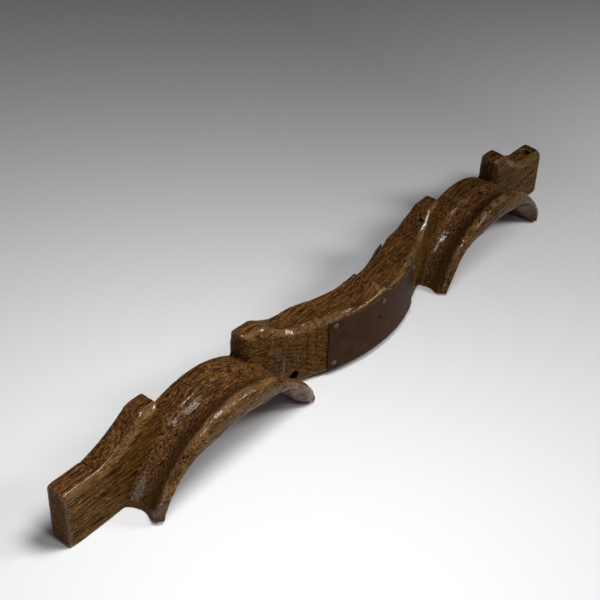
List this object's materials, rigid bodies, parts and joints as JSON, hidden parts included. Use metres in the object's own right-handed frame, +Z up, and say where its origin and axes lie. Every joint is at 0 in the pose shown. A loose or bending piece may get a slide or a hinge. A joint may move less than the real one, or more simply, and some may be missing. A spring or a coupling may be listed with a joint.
{
  "type": "ox yoke",
  "caption": "Carved oak draught beam with two flared neck arches, raised horns, squared ends and a bowed centre faced with nailed iron plates.",
  "frame": {"origin": "floor level under the middle of the plank the beam is cut from, halfway along it", "axes": "+X along the beam towards the end with the round hole, -Y the front with the neck lips, +Z up"},
  "size_m": [1.2, 0.098, 0.131],
  "materials": {
    "oak": "waxed dark oak with a worn, polished patina",
    "plate_iron": "hand-forged sheet iron, dark brown patina, satin",
    "nail_iron": "hammered iron, dark patina with rubbed high spots"
  },
  "bodies": {
    "root": {"yoke_beam": "oak", "front_plate": "plate_iron", "rear_plate": "plate_iron", "front_plate_nails": "nail_iron", "rear_plate_nails": "nail_iron"}
  },
  "joints": []
}
